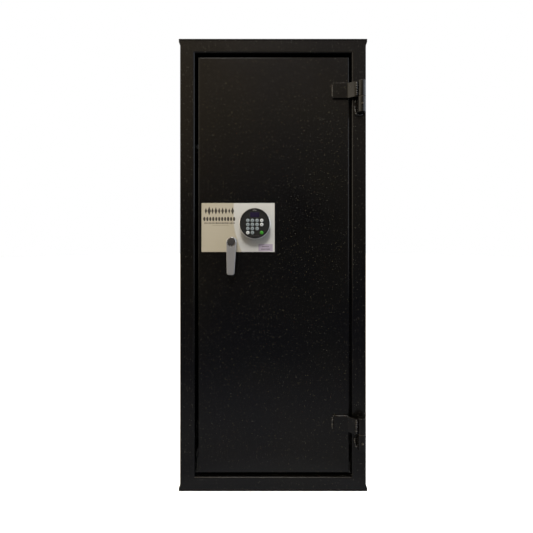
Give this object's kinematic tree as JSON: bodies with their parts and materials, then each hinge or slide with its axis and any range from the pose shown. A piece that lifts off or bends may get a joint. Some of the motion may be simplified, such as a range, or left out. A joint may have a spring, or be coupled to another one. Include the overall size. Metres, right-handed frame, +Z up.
{
  "type": "gun safe",
  "caption": "Tall free-standing steel gun safe with a hinged inset door, sliding round bolts, keypad lock, lever handle, shelf and barrel rack.",
  "frame": {"origin": "centre of the base, on the floor, midway between the sides and between the frame's front face and the back", "axes": "+Z up, the door faces -Y, +X to the right as seen from the front, so the hinges are at +X"},
  "size_m": [0.635, 0.5665, 1.524],
  "materials": {
    "paint": "semi-gloss black powder coat with fine metallic flecks",
    "steel": "plain turned steel",
    "zinc_plate": "zinc plated",
    "bright_steel": "polished",
    "satin_metal": "satin",
    "stainless": "brushed, with etched lines",
    "brass": "plain",
    "dark_cap": "matt",
    "keypad_black": "fine moulded texture",
    "screen": "gloss",
    "digit_key": "matt rubber, pale blue-grey",
    "function_key": "matt rubber, white",
    "enter_key": "matt rubber, green",
    "carpet": "short grey pile",
    "carpeted_board": "board covered in short grey pile",
    "liner_sheet": "sheet covered in short grey pile"
  },
  "bodies": {
    "cabinet": {"bottom_plate": "paint", "top_plate": "paint", "left_side": "paint", "right_side": "paint", "back_panel": "paint", "left_jamb": "paint", "right_jamb": "paint", "header_rail": "paint", "sill_rail": "paint", "floor_mat": "carpet", "shelf": "carpeted_board", "barrel_rack": "carpeted_board", "hinge_base_lower": "paint", "hinge_base_upper": "paint", "hinge_pin_lower": "steel", "hinge_pin_upper": "steel", "hinge_washer_lower": "steel", "hinge_washer_upper": "steel", "grease_nipple_lower": "steel", "grease_nipple_upper": "steel"},
    "door": {"door_panel": "paint", "door_cover": "liner_sheet", "dead_bar": "paint", "hinge_strap_lower": "paint", "hinge_strap_upper": "paint", "hinge_barrel_lower": "paint", "hinge_barrel_upper": "paint", "escutcheon_plate": "stainless", "keypad_housing": "keypad_black", "keypad_rim": "bright_steel", "keypad_bezel": "keypad_black", "keypad_face": "keypad_black", "display_window": "screen", "lock_case": "zinc_plate", "bolt_guide_1": "steel", "bolt_guide_2": "steel", "bolt_guide_3": "steel"},
    "handle": {"lever_handle": "satin_metal", "hub_cap": "dark_cap", "handle_spindle": "steel"},
    "boltwork": {"bolt_bar": "zinc_plate", "locking_bolt_1": "bright_steel", "locking_bolt_2": "bright_steel", "locking_bolt_3": "bright_steel"},
    "lock_bolt": {"swing_bolt": "brass"},
    "battery_drawer": {"battery_drawer": "keypad_black"},
    "key_0": {"key_0": "digit_key"},
    "key_1": {"key_1": "digit_key"},
    "key_2": {"key_2": "digit_key"},
    "key_3": {"key_3": "digit_key"},
    "key_4": {"key_4": "digit_key"},
    "key_5": {"key_5": "digit_key"},
    "key_6": {"key_6": "digit_key"},
    "key_7": {"key_7": "digit_key"},
    "key_8": {"key_8": "digit_key"},
    "key_9": {"key_9": "digit_key"},
    "key_up": {"key_up": "function_key"},
    "key_down": {"key_down": "function_key"},
    "key_clear": {"key_clear": "function_key"},
    "key_enter": {"key_enter": "enter_key"}
  },
  "joints": [
    {"name": "door_swing", "type": "hinge", "parent": "cabinet", "child": "door", "pos_m": [0.2943, -0.276, 0.762], "axis": [0, 0, 1], "range_deg": [0, 180]},
    {"name": "handle_turn", "type": "hinge", "parent": "door", "child": "handle", "pos_m": [-0.1352, -0.254, 0.8419], "axis": [0, 1, 0], "range_deg": [0, 90]},
    {"name": "bolt_slide", "type": "slide", "parent": "door", "child": "boltwork", "axis": [-1, 0, 0], "range_m": [0, 0.025]},
    {"name": "lock_bolt_swing", "type": "hinge", "parent": "door", "child": "lock_bolt", "pos_m": [-0.0785, -0.23, 0.886], "axis": [0, -1, 0], "range_deg": [0, 70]},
    {"name": "battery_drawer_slide", "type": "slide", "parent": "door", "child": "battery_drawer", "axis": [0, 0, -1], "range_m": [0, 0.034]},
    {"name": "key_0_press", "type": "slide", "parent": "door", "child": "key_0", "axis": [0, 1, 0], "range_m": [0, 0.0012], "stiffness_N_per_m": 200},
    {"name": "key_1_press", "type": "slide", "parent": "door", "child": "key_1", "axis": [0, 1, 0], "range_m": [0, 0.0012], "stiffness_N_per_m": 200},
    {"name": "key_2_press", "type": "slide", "parent": "door", "child": "key_2", "axis": [0, 1, 0], "range_m": [0, 0.0012], "stiffness_N_per_m": 200},
    {"name": "key_3_press", "type": "slide", "parent": "door", "child": "key_3", "axis": [0, 1, 0], "range_m": [0, 0.0012], "stiffness_N_per_m": 200},
    {"name": "key_4_press", "type": "slide", "parent": "door", "child": "key_4", "axis": [0, 1, 0], "range_m": [0, 0.0012], "stiffness_N_per_m": 200},
    {"name": "key_5_press", "type": "slide", "parent": "door", "child": "key_5", "axis": [0, 1, 0], "range_m": [0, 0.0012], "stiffness_N_per_m": 200},
    {"name": "key_6_press", "type": "slide", "parent": "door", "child": "key_6", "axis": [0, 1, 0], "range_m": [0, 0.0012], "stiffness_N_per_m": 200},
    {"name": "key_7_press", "type": "slide", "parent": "door", "child": "key_7", "axis": [0, 1, 0], "range_m": [0, 0.0012], "stiffness_N_per_m": 200},
    {"name": "key_8_press", "type": "slide", "parent": "door", "child": "key_8", "axis": [0, 1, 0], "range_m": [0, 0.0012], "stiffness_N_per_m": 200},
    {"name": "key_9_press", "type": "slide", "parent": "door", "child": "key_9", "axis": [0, 1, 0], "range_m": [0, 0.0012], "stiffness_N_per_m": 200},
    {"name": "key_up_press", "type": "slide", "parent": "door", "child": "key_up", "axis": [0, 1, 0], "range_m": [0, 0.0012], "stiffness_N_per_m": 200},
    {"name": "key_down_press", "type": "slide", "parent": "door", "child": "key_down", "axis": [0, 1, 0], "range_m": [0, 0.0012], "stiffness_N_per_m": 200},
    {"name": "key_clear_press", "type": "slide", "parent": "door", "child": "key_clear", "axis": [0, 1, 0], "range_m": [0, 0.0012], "stiffness_N_per_m": 200},
    {"name": "key_enter_press", "type": "slide", "parent": "door", "child": "key_enter", "axis": [0, 1, 0], "range_m": [0, 0.0012], "stiffness_N_per_m": 200}
  ],
  "couplings": [
    {"joint": "bolt_slide", "follows": "handle_turn", "m_per_rad": 0.015915},
    {"joint": "lock_bolt_swing", "follows": "handle_turn", "ratio": 0.7777}
  ]
}
